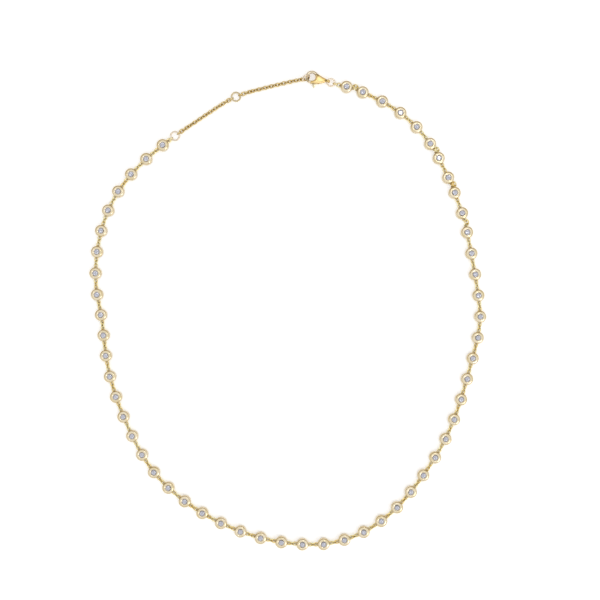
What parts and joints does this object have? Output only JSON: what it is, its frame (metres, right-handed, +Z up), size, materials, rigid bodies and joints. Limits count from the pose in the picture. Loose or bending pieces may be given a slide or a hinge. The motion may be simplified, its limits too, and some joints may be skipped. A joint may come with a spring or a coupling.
{
  "type": "bezel station necklace",
  "caption": "Gold necklace of small round cups, each set with a clear cut stone, joined by fine cable chain, with a lobster clasp and an extender with sizing rings; laid out closed.",
  "frame": {"origin": "middle of the loop's bounding box, in the plane of the cups' flat backs, on which the necklace lies", "axes": "+Z up from the backs through the stones, +Y along the loop's long way towards the clasp, +X to the right as seen with the stones facing the viewer"},
  "size_m": [0.1361, 0.1646, 0.0028],
  "materials": {
    "gold_stations": "polished yellow gold, with clear stones",
    "gold_chain": "polished yellow gold",
    "gold_rings": "polished pale gold",
    "gold_clasp": "polished yellow gold"
  },
  "bodies": {
    "root": {"station_chain_left": "gold_stations", "station_chain_right": "gold_stations", "extender_chain_1": "gold_chain", "extender_chain_2": "gold_chain", "sizing_ring_1": "gold_rings", "sizing_ring_2": "gold_rings", "end_ring": "gold_rings", "clasp_ring": "gold_rings", "clasp_body": "gold_clasp"},
    "clasp_lever": {"clasp_lever": "gold_clasp"}
  },
  "joints": [
    {"name": "lever_opens", "type": "hinge", "parent": "root", "child": "clasp_lever", "pos_m": [0.01015, 0.07879, 0.0011], "axis": [0, 0, -1], "range_deg": [0, 30], "stiffness_Nm_per_rad": 0.002}
  ]
}
